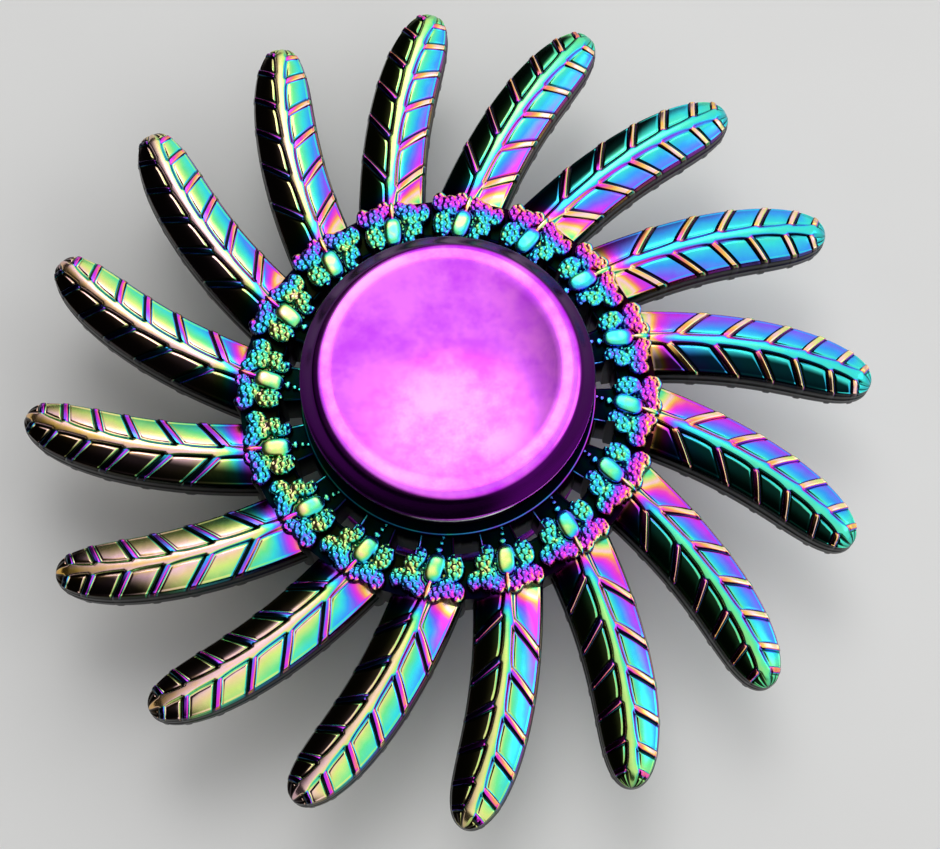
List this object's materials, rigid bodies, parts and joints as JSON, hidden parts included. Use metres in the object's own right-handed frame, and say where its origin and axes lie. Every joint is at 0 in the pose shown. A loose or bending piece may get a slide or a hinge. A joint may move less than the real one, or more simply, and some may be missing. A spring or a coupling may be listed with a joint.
{
  "type": "fidget spinner",
  "caption": "Fidget spinner: curved feather blades and butterfly motifs around a ball bearing, held between two dished finger caps.",
  "frame": {"origin": "on the spin axis, in the plane that the bottom finger cap stands on", "axes": "+Z along the spin axis towards the top cap, +X through the tip of the first feather"},
  "size_m": [0.07, 0.07, 0.019],
  "materials": {
    "rainbow_plating": "zinc die casting with rainbow interference plating, polished",
    "violet_cap": "mirror-polished metal with violet plating",
    "bearing_steel": "ground bearing steel",
    "cage_steel": "pressed steel strip"
  },
  "bodies": {
    "caps": {"finger_cap_top": "violet_cap", "finger_cap_bottom": "violet_cap", "cap_stud": "bearing_steel", "bearing_inner_race": "bearing_steel"},
    "rotor": {"rotor_hub": "rainbow_plating", "bearing_outer_race": "bearing_steel", "bearing_shield_top": "bearing_steel", "bearing_shield_bottom": "bearing_steel", "feather_01": "rainbow_plating", "feather_02": "rainbow_plating", "feather_03": "rainbow_plating", "feather_04": "rainbow_plating", "feather_05": "rainbow_plating", "feather_06": "rainbow_plating", "feather_07": "rainbow_plating", "feather_08": "rainbow_plating", "feather_09": "rainbow_plating", "feather_10": "rainbow_plating", "feather_11": "rainbow_plating", "feather_12": "rainbow_plating", "feather_13": "rainbow_plating", "feather_14": "rainbow_plating", "feather_15": "rainbow_plating", "feather_16": "rainbow_plating"},
    "ball_cage": {"ball_cage_upper": "cage_steel", "ball_cage_lower": "cage_steel"},
    "ball_1": {"ball_1": "bearing_steel"},
    "ball_2": {"ball_2": "bearing_steel"},
    "ball_3": {"ball_3": "bearing_steel"},
    "ball_4": {"ball_4": "bearing_steel"},
    "ball_5": {"ball_5": "bearing_steel"},
    "ball_6": {"ball_6": "bearing_steel"},
    "ball_7": {"ball_7": "bearing_steel"}
  },
  "joints": [
    {"name": "rotor_spin", "type": "hinge", "parent": "caps", "child": "rotor", "pos_m": [0, 0, 0.0095], "axis": [0, 0, 1], "continuous": true},
    {"name": "cage_spin", "type": "hinge", "parent": "caps", "child": "ball_cage", "pos_m": [0, 0, 0.0095], "axis": [0, 0, 1], "continuous": true},
    {"name": "ball_1_spin", "type": "hinge", "parent": "ball_cage", "child": "ball_1", "pos_m": [0.0075, 0, 0.0095], "axis": [0, 0, 1], "continuous": true},
    {"name": "ball_2_spin", "type": "hinge", "parent": "ball_cage", "child": "ball_2", "pos_m": [0.00468, 0.00586, 0.0095], "axis": [0, 0, 1], "continuous": true},
    {"name": "ball_3_spin", "type": "hinge", "parent": "ball_cage", "child": "ball_3", "pos_m": [-0.00167, 0.00731, 0.0095], "axis": [0, 0, 1], "continuous": true},
    {"name": "ball_4_spin", "type": "hinge", "parent": "ball_cage", "child": "ball_4", "pos_m": [-0.00676, 0.00325, 0.0095], "axis": [0, 0, 1], "continuous": true},
    {"name": "ball_5_spin", "type": "hinge", "parent": "ball_cage", "child": "ball_5", "pos_m": [-0.00676, -0.00325, 0.0095], "axis": [0, 0, 1], "continuous": true},
    {"name": "ball_6_spin", "type": "hinge", "parent": "ball_cage", "child": "ball_6", "pos_m": [-0.00167, -0.00731, 0.0095], "axis": [0, 0, 1], "continuous": true},
    {"name": "ball_7_spin", "type": "hinge", "parent": "ball_cage", "child": "ball_7", "pos_m": [0.00468, -0.00586, 0.0095], "axis": [0, 0, 1], "continuous": true}
  ],
  "couplings": [
    {"joint": "cage_spin", "follows": "rotor_spin", "ratio": 0.6323},
    {"joint": "ball_1_spin", "follows": "rotor_spin", "ratio": 1.7573},
    {"joint": "ball_2_spin", "follows": "rotor_spin", "ratio": 1.7573},
    {"joint": "ball_3_spin", "follows": "rotor_spin", "ratio": 1.7573},
    {"joint": "ball_4_spin", "follows": "rotor_spin", "ratio": 1.7573},
    {"joint": "ball_5_spin", "follows": "rotor_spin", "ratio": 1.7573},
    {"joint": "ball_6_spin", "follows": "rotor_spin", "ratio": 1.7573},
    {"joint": "ball_7_spin", "follows": "rotor_spin", "ratio": 1.7573}
  ]
}
